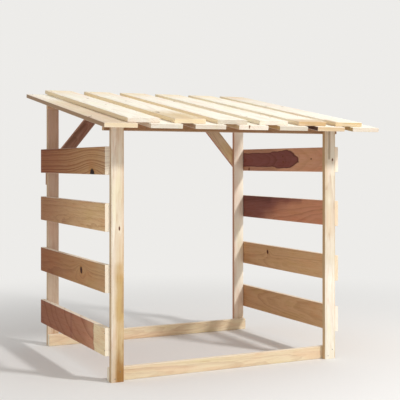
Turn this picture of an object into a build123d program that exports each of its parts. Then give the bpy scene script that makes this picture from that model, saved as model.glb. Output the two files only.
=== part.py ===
from build123d import *
from math import cos, radians, sin, tan
import os

# A free-standing roofed rack in planed softwood. Four plank posts carry two top beams and a sloping roof
# of two overlapping layers of boards. Side boards are fixed on the outer edges of the posts, rails join the
# feet, and two knee braces tie the back beam to its posts. All sizes are in millimetres. The width runs
# along X, the depth along Y from the low front to the high back, and Z is up from the ground.

# Frame
FRAME_WIDTH = 869.0
FRAME_DEPTH = 708.0
FRONT_HEIGHT = 844.0
POST_WIDTH = 45.0
POST_THICKNESS = 18.0
EDGE_RADIUS = 2.0

# Side boards: the lowest gap, the gap under the roof, and how far each board lies off an even spacing
SIDE_BOARD_HEIGHT = 92.0
SIDE_BOARD_THICKNESS = 18.0
SIDE_BOARD_SET_BACK = 8.5
SIDE_BOARD_REAR_REACH = 15.0
LEFT_LOWEST_GAP = 86.0
LEFT_HIGHEST_GAP = 80.0
LEFT_BOARD_NUDGES = (0.0, 8.5, 11.5, 0.0)
RIGHT_LOWEST_GAP = 95.5
RIGHT_HIGHEST_GAP = 75.0
RIGHT_BOARD_NUDGES = (0.0, -8.5, -3.0, 0.0)

# Beams under the roof, their heights taken at the front face, and rails at the feet
FRONT_BEAM_HEIGHT = 31.0
BACK_BEAM_HEIGHT = 38.5
TOP_BEAM_THICKNESS = 18.0
BOTTOM_RAIL_HEIGHT = 45.0
BOTTOM_RAIL_THICKNESS = 18.0

# Knee braces: how far in and how far down the centre line runs from the head to the edge of the frame
BRACE_WIDTH = 45.0
BRACE_THICKNESS = 18.0
LEFT_BRACE_REACH = 249.0
LEFT_BRACE_DROP = 301.0
RIGHT_BRACE_REACH = 239.0
RIGHT_BRACE_DROP = 272.0
BRACE_FOOT_CLEARANCE = 2.0
BRACE_HEAD_CLEARANCE = 4.0

# Roof: nudges are how far each board lies off an even spacing
ROOF_PITCH = 9.5
ROOF_FRONT_OVERHANG = 150.0
ROOF_SIDE_OVERHANG = 80.0
ROOF_BOARD_WIDTH = 111.0
ROOF_BOARD_THICKNESS = 15.0
LOWER_BOARD_NUDGES = (0.0, 1.5, 3.5, 9.0, 11.0, 8.5, 0.0)
UPPER_BOARD_SET_BACK = 20.0
UPPER_BOARD_REAR_REACH = 33.0
UPPER_BOARD_NUDGES = (6.0, 12.0, 9.0, 9.0, 9.0, 12.0)

# Length that a sloping or mitred saw cut takes off the stock
SAW_ALLOWANCE = 60.0

# Positions that follow from the sizes above, measured from the outer front corner of the front left post
SLOPE = tan(radians(ROOF_PITCH))
ALONG_SLOPE = Vector(0, cos(radians(ROOF_PITCH)), sin(radians(ROOF_PITCH)))
ABOVE_SLOPE = Vector(0, -sin(radians(ROOF_PITCH)), cos(radians(ROOF_PITCH)))
EAVES = Vector(0, -ROOF_FRONT_OVERHANG, FRONT_HEIGHT - ROOF_FRONT_OVERHANG * SLOPE)
ROOF_UNDERSIDE = Plane(origin=EAVES, x_dir=(1, 0, 0), z_dir=ABOVE_SLOPE)
LOWER_BOARD_LENGTH = (ROOF_FRONT_OVERHANG + FRAME_DEPTH) / cos(radians(ROOF_PITCH))
UPPER_BOARD_LENGTH = LOWER_BOARD_LENGTH - UPPER_BOARD_SET_BACK + UPPER_BOARD_REAR_REACH
UPPER_BOARD_END = UPPER_BOARD_SET_BACK + UPPER_BOARD_LENGTH
RIGHT_POST_FACE = FRAME_WIDTH - POST_WIDTH
BACK_POST_FACE = FRAME_DEPTH - POST_THICKNESS


def roof_point(along, above):
    """A point of the roof's profile, from its distance up the slope and its height above the underside."""
    return EAVES + ALONG_SLOPE * along + ABOVE_SLOPE * above


def roof_height(y):
    """The height of the roof's underside over a given depth."""
    return FRONT_HEIGHT + y * SLOPE


def stock(start, towards, width_along, width, thickness, length):
    """A length of planed timber: a rectangle with rounded corners, drawn out from the middle of its end."""
    end_face = Plane(origin=start, x_dir=width_along, z_dir=towards)
    section = end_face * RectangleRounded(width, thickness, EDGE_RADIUS)
    return extrude(section, length)


def cut_under_roof(timber):
    """The timber with its top sawn off along the roof's underside."""
    return split(timber, bisect_by=ROOF_UNDERSIDE, keep=Keep.BOTTOM)


def post(left_face, front_face, height):
    """An upright plank with its wide face to the front and a square head."""
    foot = Vector(left_face + POST_WIDTH / 2, front_face + POST_THICKNESS / 2, 0)
    return stock(foot, (0, 0, 1), (1, 0, 0), POST_WIDTH, POST_THICKNESS, height)


def front_post(left_face):
    """A front post, its head sawn to the slope of the roof."""
    return cut_under_roof(post(left_face, 0, FRONT_HEIGHT + SAW_ALLOWANCE))


def back_post(left_face):
    """A back post, cut short for the beam that lies on its head."""
    return post(left_face, BACK_POST_FACE, roof_height(BACK_POST_FACE) - BACK_BEAM_HEIGHT)


def top_beam(left_end, right_end, front_face, front_height):
    """A beam on edge, its upper edge sawn to the slope of the roof."""
    height = front_height + TOP_BEAM_THICKNESS * SLOPE + EDGE_RADIUS
    middle = roof_height(front_face) - front_height + height / 2
    start = Vector(left_end, front_face + TOP_BEAM_THICKNESS / 2, middle)
    length = right_end - left_end
    return cut_under_roof(stock(start, (1, 0, 0), (0, 0, 1), height, TOP_BEAM_THICKNESS, length))


def bottom_rail(front_face):
    """A rail on edge that joins the feet of two posts."""
    start = Vector(0, front_face + BOTTOM_RAIL_THICKNESS / 2, BOTTOM_RAIL_HEIGHT / 2)
    return stock(start, (1, 0, 0), (0, 0, 1), BOTTOM_RAIL_HEIGHT, BOTTOM_RAIL_THICKNESS, FRAME_WIDTH)


def side_boards(inner_face, outward, lowest_gap, highest_gap, nudges):
    """The boards of one side, spaced between the lowest gap and the gap under the roof at the front post."""
    room = FRONT_HEIGHT - lowest_gap - highest_gap - SIDE_BOARD_HEIGHT
    pitch = room / (len(nudges) - 1)
    middle_x = inner_face + outward * SIDE_BOARD_THICKNESS / 2
    length = FRAME_DEPTH + SIDE_BOARD_REAR_REACH - SIDE_BOARD_SET_BACK
    boards = []
    for number, nudge in enumerate(nudges):
        middle_z = lowest_gap + number * pitch + nudge + SIDE_BOARD_HEIGHT / 2
        start = Vector(middle_x, SIDE_BOARD_SET_BACK, middle_z)
        boards.append(stock(start, (0, 1, 0), (0, 0, 1), SIDE_BOARD_HEIGHT, SIDE_BOARD_THICKNESS, length))
    return boards


def left_brace(reach, drop):
    """A knee brace on the rear of the back left post and beam, its head sawn level and its foot upright."""
    head_level = roof_height(FRAME_DEPTH) - BRACE_HEAD_CLEARANCE
    middle_y = FRAME_DEPTH + BRACE_THICKNESS / 2
    crossing = Vector(0, middle_y, head_level - drop)
    rise = Vector(reach, 0, drop)
    start = crossing - rise.normalized() * SAW_ALLOWANCE
    length = rise.length + 2 * SAW_ALLOWANCE
    timber = stock(start, rise, (0, 1, 0), BRACE_THICKNESS, BRACE_WIDTH, length)
    upright_cut = Plane(origin=(BRACE_FOOT_CLEARANCE, 0, 0), z_dir=(1, 0, 0))
    level_cut = Plane(origin=(0, 0, head_level), z_dir=(0, 0, 1))
    timber = split(timber, bisect_by=upright_cut, keep=Keep.TOP)
    return split(timber, bisect_by=level_cut, keep=Keep.BOTTOM)


def right_brace(reach, drop):
    """The right brace, a left one mirrored about the middle of the frame."""
    return mirror(left_brace(reach, drop), about=Plane(origin=(FRAME_WIDTH / 2, 0, 0), z_dir=(1, 0, 0)))


def roof_board(left_edge, set_back, above, length):
    """A roof board that runs up the slope, with square ends."""
    start = roof_point(set_back, above + ROOF_BOARD_THICKNESS / 2)
    start = start + Vector(left_edge + ROOF_BOARD_WIDTH / 2, 0, 0)
    return stock(start, ALONG_SLOPE, (1, 0, 0), ROOF_BOARD_WIDTH, ROOF_BOARD_THICKNESS, length)


def lower_left_edges():
    """The left edges of the lower roof boards, spread over the frame and its side overhangs."""
    room = FRAME_WIDTH + 2 * ROOF_SIDE_OVERHANG - ROOF_BOARD_WIDTH
    pitch = room / (len(LOWER_BOARD_NUDGES) - 1)
    first = -ROOF_SIDE_OVERHANG
    return [first + number * pitch + nudge for number, nudge in enumerate(LOWER_BOARD_NUDGES)]


def upper_left_edges():
    """The left edges of the upper roof boards, which lie over the gaps of the lower layer."""
    edges = lower_left_edges()
    gap_middles = [(left + ROOF_BOARD_WIDTH + right) / 2 for left, right in zip(edges, edges[1:])]
    half_board = ROOF_BOARD_WIDTH / 2
    return [middle - half_board + nudge for middle, nudge in zip(gap_middles, UPPER_BOARD_NUDGES)]


nodes = {}

# Posts
nodes["front_left_post"] = front_post(0)
nodes["front_right_post"] = front_post(RIGHT_POST_FACE)
nodes["back_left_post"] = back_post(0)
nodes["back_right_post"] = back_post(RIGHT_POST_FACE)

# The front beam lies behind the front posts and spans the side boards, the back beam lies on the back posts
beam_left_end = -SIDE_BOARD_THICKNESS
beam_right_end = FRAME_WIDTH + SIDE_BOARD_THICKNESS
nodes["front_top_beam"] = top_beam(beam_left_end, beam_right_end, POST_THICKNESS, FRONT_BEAM_HEIGHT)
nodes["back_top_beam"] = top_beam(0, FRAME_WIDTH, BACK_POST_FACE, BACK_BEAM_HEIGHT)

# Rails on the inner faces of the posts
nodes["front_bottom_rail"] = bottom_rail(POST_THICKNESS)
nodes["back_bottom_rail"] = bottom_rail(BACK_POST_FACE - BOTTOM_RAIL_THICKNESS)

# Knee braces
nodes["left_brace"] = left_brace(LEFT_BRACE_REACH, LEFT_BRACE_DROP)
nodes["right_brace"] = right_brace(RIGHT_BRACE_REACH, RIGHT_BRACE_DROP)

# Side boards, numbered from the ground up
left_boards = side_boards(0, -1, LEFT_LOWEST_GAP, LEFT_HIGHEST_GAP, LEFT_BOARD_NUDGES)
right_boards = side_boards(FRAME_WIDTH, 1, RIGHT_LOWEST_GAP, RIGHT_HIGHEST_GAP, RIGHT_BOARD_NUDGES)
for number, board in enumerate(left_boards, 1):
    nodes[f"left_side_board_{number}"] = board
for number, board in enumerate(right_boards, 1):
    nodes[f"right_side_board_{number}"] = board

# Roof, both layers numbered from left to right
for number, edge in enumerate(lower_left_edges(), 1):
    nodes[f"lower_roof_board_{number}"] = roof_board(edge, 0, 0, LOWER_BOARD_LENGTH)
for number, edge in enumerate(upper_left_edges(), 1):
    board = roof_board(edge, UPPER_BOARD_SET_BACK, ROOF_BOARD_THICKNESS, UPPER_BOARD_LENGTH)
    nodes[f"upper_roof_board_{number}"] = board

# The origin lies on the ground under the middle of the roof
lower_front = roof_point(0, ROOF_BOARD_THICKNESS)
upper_front = roof_point(UPPER_BOARD_SET_BACK, 2 * ROOF_BOARD_THICKNESS)
lower_rear = roof_point(LOWER_BOARD_LENGTH, 0)
upper_rear = roof_point(UPPER_BOARD_END, ROOF_BOARD_THICKNESS)
front_y = min(lower_front.Y, upper_front.Y)
rear_y = max(lower_rear.Y, upper_rear.Y)
to_origin = Pos(-FRAME_WIDTH / 2, -(front_y + rear_y) / 2, 0)

os.makedirs("parts", exist_ok=True)
for name, shape in nodes.items():
    placed = to_origin * shape
    placed.label = name
    export_step(placed, f"parts/{name}.step")
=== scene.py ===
"""A small free-standing roofed rack in planed pine, set up for a plain studio picture.

Every piece of timber is made as a plank of its own: a section with rounded arrises, carried along the
plank's length between its two end cuts. Its finish is solid wood, with growth rings round a pith that lies
where the log's would, so faces, edges and end grain all agree.
"""

from dataclasses import dataclass, replace
from math import cos, hypot, pi, radians, sin, tan

import bpy
import numpy as np
from bpy.props import FloatProperty, FloatVectorProperty, PointerProperty
from mathutils import Color, Matrix, Vector


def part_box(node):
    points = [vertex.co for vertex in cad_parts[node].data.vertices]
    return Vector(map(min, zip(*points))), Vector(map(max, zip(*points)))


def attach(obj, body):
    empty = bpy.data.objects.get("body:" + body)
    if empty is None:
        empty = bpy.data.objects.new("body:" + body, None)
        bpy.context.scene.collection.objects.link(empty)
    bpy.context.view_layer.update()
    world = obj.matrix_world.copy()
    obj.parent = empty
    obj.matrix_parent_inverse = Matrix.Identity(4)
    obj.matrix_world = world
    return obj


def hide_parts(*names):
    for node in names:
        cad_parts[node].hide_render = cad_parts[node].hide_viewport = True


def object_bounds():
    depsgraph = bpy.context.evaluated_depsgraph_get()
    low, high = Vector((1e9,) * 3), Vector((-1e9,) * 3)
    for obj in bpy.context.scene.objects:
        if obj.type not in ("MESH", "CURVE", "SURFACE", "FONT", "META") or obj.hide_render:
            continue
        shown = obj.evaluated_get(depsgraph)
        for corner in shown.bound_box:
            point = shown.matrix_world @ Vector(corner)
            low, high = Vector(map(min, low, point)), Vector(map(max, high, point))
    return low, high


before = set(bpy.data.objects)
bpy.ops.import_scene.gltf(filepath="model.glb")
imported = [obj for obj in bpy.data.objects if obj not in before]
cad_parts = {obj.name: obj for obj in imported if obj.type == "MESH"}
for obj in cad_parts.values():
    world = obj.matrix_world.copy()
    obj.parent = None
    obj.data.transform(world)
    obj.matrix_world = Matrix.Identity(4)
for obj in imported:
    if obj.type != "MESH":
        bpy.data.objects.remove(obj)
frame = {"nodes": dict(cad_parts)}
CAD_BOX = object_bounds()

bl_info = {
    "name": "Roofed Rack",
    "version": (1, 0, 0),
    "blender": (4, 5, 0),
    "location": "3D View > Sidebar > Rack",
    "description": "Makes the timber, the nails and the studio of a small roofed rack",
    "category": "Object",
}

MM = 0.001
BODY = "root"
SEED = 7
SIDES = ("left", "right")
ENDS = ("front", "back")
X, Y, Z = np.eye(3)


def setting(name, description, default, **kind):
    """A number that can be set in the sidebar."""
    return FloatProperty(name=name, description=description, default=default, **kind)


def colour_setting(name, description, *value):
    """A colour that can be set in the sidebar, as it looks on a screen."""
    return FloatVectorProperty(name=name, description=description, default=value, min=0, max=1,
                               subtype="COLOR_GAMMA")


class RackTimber(bpy.types.PropertyGroup):
    """Sizes of the timber that the solids' boxes don't give."""

    roof_pitch: setting("Roof pitch", "Slope of the roof from front to back", radians(9.5), subtype="ANGLE")
    brace_width: setting("Brace width", "Width of the two knee braces", 45 * MM, unit="LENGTH")
    arris_radius: setting("Arris radius", "Rounding of the planed long edges", 2 * MM, unit="LENGTH")
    end_arris: setting("End arris", "Softening round the sawn ends", 0.8 * MM, unit="LENGTH")
    wander: setting("Wander", "How far a face may lie under its true plane", 0.35 * MM, unit="LENGTH")
    nail_head: setting("Nail head", "Diameter of the nail heads", 3.4 * MM, unit="LENGTH")


class RackColours(bpy.types.PropertyGroup):
    """Colours of the wood and the metal. Those of wood are for the early wood of a year's growth."""

    post: colour_setting("Post wood", "Golden sapwood of front posts and rails", 0.93, 0.865, 0.745)
    # On the back right post this near-white is partly painted light: it stands in part for sunlight on that
    # post's front face.
    pale: colour_setting("Pale wood", "Bleached sapwood", 0.975, 0.94, 0.875)
    dull: colour_setting("Dull wood", "Greyish sapwood", 0.915, 0.878, 0.81)
    cream: colour_setting("Cream wood", "Yellowish sapwood", 0.98, 0.9, 0.745)
    # On the inner faces of right side boards 3 and 4 this tan is partly painted shade: it holds the reddish
    # light bounced about under the roof.
    tan: colour_setting("Tan wood", "Lightest heartwood", 0.9, 0.71, 0.585)
    olive: colour_setting("Olive wood", "Damp or greenish sapwood", 0.81, 0.69, 0.47)
    pink: colour_setting("Pink wood", "Pinkish wood of the back left post", 0.95, 0.875, 0.785)
    board: colour_setting("Side board wood", "Wood of the side boards", 0.935, 0.79, 0.605)
    gold: colour_setting("Golden wood", "Yellower wood of some side boards", 0.945, 0.8, 0.58)
    roof: colour_setting("Roof wood", "Nearly white wood of the roof boards", 0.985, 0.966, 0.912)
    frame: colour_setting("Frame wood", "Wood of the back beam", 0.915, 0.8, 0.635)
    edge: colour_setting("Edge wood", "Browner narrow sides and streaks", 0.8, 0.665, 0.475)
    # Where it colours shaded narrow sides and the roof boards' undersides, this is painted shade.
    red: colour_setting("Red wood", "Reddish heartwood", 0.76, 0.545, 0.43)
    ruddy: colour_setting("Ruddy wood", "Bright reddish heartwood", 0.9, 0.6, 0.46)
    heart: colour_setting("Heartwood", "Dark heartwood", 0.565, 0.36, 0.34)
    # Painted shade where it colours the front beam under the roof's overhang and the narrow sides of lower
    # roof boards; on the front left post it is a stain.
    brown: colour_setting("Brown wood", "Weathered wood of the front beam and some edges", 0.67, 0.535, 0.41)
    grey: colour_setting("Grey wood", "Stained streaks and ends", 0.66, 0.59, 0.49)
    # Where it colours the narrow sides of lower_roof_board_6 and a band along the top of right side board 3,
    # it is painted shade.
    knot: colour_setting("Knot", "Wood of the knots and the darkest sides", 0.3, 0.155, 0.11)
    sawn: colour_setting("Sawn ends", "End grain of fresh cuts", 0.985, 0.945, 0.865)
    nail_steel: colour_setting("Nail steel", "Galvanised steel of the nails", 0.55, 0.53, 0.5)


class RackStage(bpy.types.PropertyGroup):
    """Camera, light and floor."""

    camera_place: FloatVectorProperty(
        name="Camera place", description="From the outer front corner of the front left post's foot",
        default=(-1.0724, -2.82, 0.7099), subtype="TRANSLATION", unit="LENGTH")
    camera_turn: setting(
        "Camera turn", "How far to the right of straight ahead it looks", radians(26.2748), subtype="ANGLE")
    lens: setting("Lens", "Focal length in millimetres on a 36 mm sensor", 83.8)
    horizon_rise: setting(
        "Horizon rise", "Height of the horizon over the picture's middle, as a share of its width", 0.0921)
    key_power: setting("Key power", "Power of the main light in watts", 124)
    key_size: setting("Key size", "Diameter of the main light", 0.5, unit="LENGTH")
    key_aim: FloatVectorProperty(
        name="Key direction", description="From the rack to the main light",
        default=(0.43, -0.7, 0.56), subtype="DIRECTION")
    top_power: setting("Top power", "Power of the broad light overhead in watts", 22)
    sky_level: setting("Sky level", "Level of the even light from all round", 0.56)
    backdrop: colour_setting(
        "Backdrop", "Colour behind the object, and of the floor far from it", 0.93, 0.925, 0.915)
    floor: colour_setting("Floor", "Colour of the floor round the object", 0.92, 0.915, 0.905)


def linear(colour):
    """A screen colour as the scene's linear colour, with full alpha."""
    return (*Color(colour).from_srgb_to_scene_linear(), 1.0)


def tinted(colour, red, green, blue):
    """A screen colour with its three channels multiplied."""
    return tuple(min(1.0, channel * factor) for channel, factor in zip(colour, (red, green, blue)))


# Timber in place


@dataclass
class Plank:
    """Where a plank lies: the middle of its solid, its directions and its size in metres.

    `along` runs the plank's length and `out` points away from the face that is seen best. The section's
    corners are given in metres across and out from the middle, counter-clockwise. `first` and `last` are
    the end cuts, each a point and a normal.
    """

    middle: np.ndarray
    along: np.ndarray
    out: np.ndarray
    length: float
    width: float
    thickness: float
    corners: np.ndarray = None
    first: tuple = None
    last: tuple = None

    def __post_init__(self):
        if self.corners is None:
            half_size = (self.width / 2, self.thickness / 2)
            self.corners = np.array(((-1, -1), (1, -1), (1, 1), (-1, 1))) * half_size
        if self.first is None:
            self.first = (self.middle - self.along * self.length / 2, self.along)
        if self.last is None:
            self.last = (self.middle + self.along * self.length / 2, self.along)

    @property
    def across(self):
        """The direction across the width, so that along, across and out are a right-handed set."""
        return np.cross(self.out, self.along)


def solid_box(node):
    """The lowest and highest corner of a solid, as arrays."""
    low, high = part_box(node)
    return np.array(low), np.array(high)


def straight_plank(node, along, out):
    """A plank that fills its solid's box."""
    low, high = solid_box(node)
    size = high - low
    length, thickness = size @ np.abs(along), size @ np.abs(out)
    width = size @ (1 - np.abs(along) - np.abs(out))
    return Plank((low + high) / 2, along, out, length, width, thickness)


def roof_normal(pitch):
    """The direction at right angles to the roof, upwards."""
    return np.array((0, -sin(pitch), cos(pitch)))


def front_post_plank(node, pitch):
    """A post whose head is sawn along the roof's slope."""
    plank = straight_plank(node, Z, Y)
    head = plank.middle + np.array((0, plank.thickness / 2, plank.length / 2))
    return replace(plank, last=(head, roof_normal(pitch)))


def top_beam_plank(node, pitch):
    """A beam along X whose upper edge slopes with the roof. Across points down, so that edge comes first."""
    plank = straight_plank(node, X, Y)
    corners = plank.corners.copy()
    corners[0, 0] = plank.thickness * tan(pitch) - plank.width / 2
    return replace(plank, corners=corners)


def brace_plank(node, width):
    """A brace from its upright foot cut to its level head cut. Its lower edge is the diagonal of its box."""
    side = 1 if node.startswith("left") else -1
    low, high = solid_box(node)
    run, rise = high[0] - low[0], high[2] - low[2]
    diagonal = hypot(run, rise)
    along = np.array((side * run, 0, rise)) / diagonal
    upward = np.array((-side * rise, 0, run)) / diagonal
    foot_x = low[0] if side > 0 else high[0]
    lower_foot = np.array((foot_x, (low[1] + high[1]) / 2, low[2]))
    middle = lower_foot + along * diagonal / 2 + upward * width / 2
    foot_cut = (lower_foot, X * side)
    head_cut = (np.array((0, 0, high[2])), Z)
    return Plank(middle, along, Y, diagonal, width, high[1] - low[1], first=foot_cut, last=head_cut)


def roof_board_plank(node, pitch):
    """A board up the slope. Its box gives its width, and with the pitch its length and thickness."""
    low, high = solid_box(node)
    run, rise = high[1] - low[1], high[2] - low[2]
    turn = cos(pitch) ** 2 - sin(pitch) ** 2
    length = (run * cos(pitch) - rise * sin(pitch)) / turn
    thickness = (rise * cos(pitch) - run * sin(pitch)) / turn
    along = np.array((0, cos(pitch), sin(pitch)))
    return Plank((low + high) / 2, along, -roof_normal(pitch), length, high[0] - low[0], thickness)


def plank_of(node, timber):
    """The plank of a node, told by the node's name."""
    if "side_board" in node:
        return straight_plank(node, Y, X)
    if "roof_board" in node:
        return roof_board_plank(node, timber.roof_pitch)
    if "top_beam" in node:
        return top_beam_plank(node, timber.roof_pitch)
    if "bottom_rail" in node:
        return straight_plank(node, X, Y)
    if "brace" in node:
        return brace_plank(node, timber.brace_width)
    if "front" in node:
        return front_post_plank(node, timber.roof_pitch)
    return straight_plank(node, Z, Y)


def nodes_of(kind):
    """The nodes with a word in their name, in the frame's order."""
    return [node for node in frame["nodes"] if kind in node]


# Shapes

ARC_STEPS = 4
WIDE_STEPS = 8
STATIONS = 72
END_ARCS = np.radians((0, 30, 60, 90))
CAP_MARGIN = 0.5 * MM
WAVE_LENGTHS = (0.09, 0.5)
FACE_WAVES = 4
ARRIS_WAVES = 5


def section(corners, radius):
    """Points round a convex section with rounded corners, their outward normals and how far round an arris.

    Each corner becomes an arc about a centre one radius inside both sides, swept from the normal of the
    side before to that of the side after. Each side between two arcs is cut into equal steps.
    """
    sides = np.roll(corners, -1, axis=0) - corners
    sides /= np.linalg.norm(sides, axis=1)[:, None]
    normals = np.stack((sides[:, 1], -sides[:, 0]), axis=1)
    angles = np.unwrap(np.arctan2(normals[:, 1], normals[:, 0]))
    before = np.concatenate(([angles[-1] - 2 * pi], angles[:-1]))
    share = np.linspace(0, 1, ARC_STEPS + 1)
    sweep = before[:, None] + (angles - before)[:, None] * share
    arc_normals = np.stack((np.cos(sweep), np.sin(sweep)), axis=2)
    half_turn = (angles - before) / 2
    bisector = np.stack((np.cos(before + half_turn), np.sin(before + half_turn)), axis=1)
    centres = corners - bisector * (radius / np.cos(half_turn))[:, None]
    arcs = centres[:, None] + arc_normals * radius
    arris = np.broadcast_to(np.sin(share * pi), sweep.shape)

    inner = np.linspace(0, 1, WIDE_STEPS + 1)[1:-1]
    starts, ends = arcs[:, -1], np.roll(arcs[:, 0], -1, axis=0)
    flats = starts[:, None] + (ends - starts)[:, None] * inner[:, None]
    flat_normals = np.broadcast_to(normals[:, None], flats.shape)
    flat_arris = np.zeros(flats.shape[:2])
    points = np.concatenate((arcs, flats), axis=1).reshape(-1, 2)
    outward = np.concatenate((arc_normals, flat_normals), axis=1).reshape(-1, 2)
    return points, outward, np.concatenate((arris, flat_arris), axis=1).ravel()


def waves(distance, angle, count, generator):
    """A smooth value from 0 to 1: the mean of sines along the plank, each winding a whole number round it."""
    lengths = generator.uniform(*WAVE_LENGTHS, count)
    phases = generator.uniform(0, 2 * pi, count)
    turns = generator.integers(0, 3, count)
    total = sum(np.sin(2 * pi * distance / length + phase + turn * angle)
                for length, phase, turn in zip(lengths, phases, turns))
    return 0.5 + 0.5 * total / count


def plank_surface(plank, timber, generator):
    """The plank as rings of points, and how much of an arris each point is.

    The section's points are carried along the length. Each point has its own start and end, where its
    line meets the two end cuts, and stations between them share that distance equally. At both ends the
    section shrinks through a quarter circle into the softened edge. Faces lie a little under their true
    planes, by slow waves, and arrises are worn by a second set.
    """
    points, outward, arris = section(plank.corners, timber.arris_radius)
    soft = timber.end_arris
    inset = np.concatenate(([soft + CAP_MARGIN], soft * (1 - np.sin(END_ARCS))))
    depth = np.concatenate(([0.0], soft * (1 - np.cos(END_ARCS))))
    worn = np.concatenate(([0.0], np.sin(2 * END_ARCS)))
    body = np.linspace(0, 1, STATIONS)[1:-1]
    none = np.zeros(len(body))
    ring_inset = np.concatenate((inset, none, inset[::-1]))
    ring_share = np.concatenate((np.zeros(len(inset)), body, np.ones(len(inset))))
    ring_depth = np.concatenate((depth, soft * (1 - 2 * body), -depth[::-1]))
    ring_worn = np.concatenate((worn, none, worn[::-1]))

    angle = np.arctan2(outward[:, 1], outward[:, 0])[None, :]
    distance = (ring_share * plank.length)[:, None]
    sink = timber.wander * waves(distance, angle, FACE_WAVES, generator)
    sink = sink + arris * timber.wander * waves(distance, angle, ARRIS_WAVES, generator)
    flat = points[None] - outward[None] * (ring_inset[:, None] + sink)[..., None]
    across, out = flat[..., 0:1], flat[..., 1:2]
    line = plank.middle + across * plank.across + out * plank.out

    def meet(cut):
        """How far along its line each point meets a cut."""
        point, normal = cut
        return (point - line) @ normal / (plank.along @ normal)

    start, end = meet(plank.first), meet(plank.last)
    place = start + (end - start) * ring_share[:, None] + ring_depth[:, None]
    surface = line + place[..., None] * plank.along
    return surface, np.maximum(arris[None], ring_worn[:, None])


def tube_faces(rings, sides, copies=1):
    """Quads between rings of points and a face over each end, looking outwards, for each copy of a tube."""
    ring, side = np.meshgrid(np.arange(rings - 1), np.arange(sides), indexing="ij")
    following = (side + 1) % sides
    quads = np.stack((ring * sides + side, ring * sides + following,
                      (ring + 1) * sides + following, (ring + 1) * sides + side), axis=-1)
    caps = np.stack((np.arange(sides)[::-1], np.arange(sides) + (rings - 1) * sides))
    starts = np.arange(copies)[:, None, None] * rings * sides
    return [face for block in (quads.reshape(-1, 4), caps)
            for face in (starts + block).reshape(-1, block.shape[1]).tolist()]


def add_piece(name, points, faces, material, smooth=True):
    """A mesh object at the origin from points and faces."""
    mesh = bpy.data.meshes.new(name)
    mesh.from_pydata(points.reshape(-1, 3), [], faces)
    mesh.materials.append(material)
    mesh.polygons.foreach_set("use_smooth", np.full(len(mesh.polygons), smooth))
    mesh.validate()
    mesh.update()
    piece = bpy.data.objects.new(name, mesh)
    bpy.context.scene.collection.objects.link(piece)
    return piece


# Steps of a finish


class Steps:
    """Builds a material or a world one step at a time. Each step returns the socket that holds its result."""

    def __init__(self, owner, shader="Principled BSDF"):
        owner.use_nodes = True
        self.tree = owner.node_tree
        self.shader = self.tree.nodes[shader]

    def feed(self, socket, value):
        """Links a socket to a step's result, or sets its value."""
        if isinstance(value, bpy.types.NodeSocket):
            self.tree.links.new(value, socket)
        else:
            socket.default_value = value

    def finish(self, **inputs):
        """Feeds the shader's inputs, named with low lines for spaces."""
        for name, value in inputs.items():
            self.feed(self.shader.inputs[name.replace("_", " ")], value)

    def node(self, kind, inputs=None, **settings):
        """A new node with its settings and its inputs by number or name."""
        made = self.tree.nodes.new(kind)
        for name, value in settings.items():
            setattr(made, name, value)
        for key, value in (inputs or {}).items():
            self.feed(made.inputs[key], value)
        return made

    def math(self, operation, *values):
        """A number worked out from one, two or three others."""
        return self.node("ShaderNodeMath", dict(enumerate(values)), operation=operation).outputs[0]

    def plus(self, first, second):
        """The sum of two numbers."""
        return self.math("ADD", first, second)

    def minus(self, first, second):
        """The difference of two numbers."""
        return self.math("SUBTRACT", first, second)

    def times(self, first, second):
        """The product of two numbers."""
        return self.math("MULTIPLY", first, second)

    def total(self, start, *terms):
        """A number plus others, each times its weight."""
        for value, weight in terms:
            start = self.plus(start, self.times(value, weight))
        return start

    def vector(self, operation, *values):
        """A vector worked out from others, or a number for a length or a dot product."""
        made = self.node("ShaderNodeVectorMath", dict(enumerate(values)), operation=operation)
        return made.outputs["Value" if operation in ("LENGTH", "DOT_PRODUCT") else "Vector"]

    def scaled(self, vector, factor):
        """A vector times a number."""
        return self.node("ShaderNodeVectorMath", {0: vector, "Scale": factor}, operation="SCALE").outputs[0]

    def part(self, vector, axis):
        """One of a vector's three parts."""
        return self.node("ShaderNodeSeparateXYZ", {0: vector}).outputs[axis]

    def noise(self, place, scale, seed, detail=2.0, roughness=0.5, output="Fac"):
        """Soft noise round 0.5. The scale is that of its features along and across, per unit of place."""
        along, across = scale
        made = self.node("ShaderNodeTexNoise", {
            "Vector": self.vector("MULTIPLY", place, (along, across, across)), "W": seed, "Scale": 1.0,
            "Detail": detail, "Roughness": roughness}, noise_dimensions="4D")
        return made.outputs[output]

    def drift(self, value, scale):
        """Soft noise round 0.5 along a single number."""
        inputs = {"W": value, "Scale": scale, "Detail": 1.0}
        return self.node("ShaderNodeTexNoise", inputs, noise_dimensions="1D").outputs["Fac"]

    def smooth(self, value, low, high, to_low=0.0, to_high=1.0):
        """A soft step of a value between two limits."""
        inputs = {"Value": value, "From Min": low, "From Max": high, "To Min": to_low, "To Max": to_high}
        return self.node("ShaderNodeMapRange", inputs, interpolation_type="SMOOTHSTEP").outputs[0]

    def mix(self, factor, first, second, blend="MIX"):
        """Two colours mixed."""
        inputs = {0: factor, 6: first, 7: second}
        return self.node("ShaderNodeMix", inputs, data_type="RGBA", blend_type=blend).outputs[2]

    def tint(self, factor, colour, tint):
        """A colour multiplied by another to some share."""
        return self.mix(factor, colour, (*tint, 1), "MULTIPLY")

    def ramp(self, value, stops):
        """A number read off a curve through a few stops."""
        made = self.node("ShaderNodeValToRGB", {0: value})
        elements = made.color_ramp.elements
        while len(elements) < len(stops):
            elements.new(0.5)
        for element, (place, level) in zip(elements, stops):
            element.position = place
            element.color = (level, level, level, 1)
        return made.outputs[0]


# What is known of a plank's wood


@dataclass
class Knot:
    """A knot on the best face, in millimetres from the plank's middle.

    It is `stretch` times as long as wide, and raises the grain over it by `swell` over a long stretch. Its
    core is brown, or nearly black where `dark` is 1.
    """

    along: float
    across: float
    radius: float
    swell: float = 0.0
    stretch: float = 1.0
    dark: float = 0.0


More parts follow.
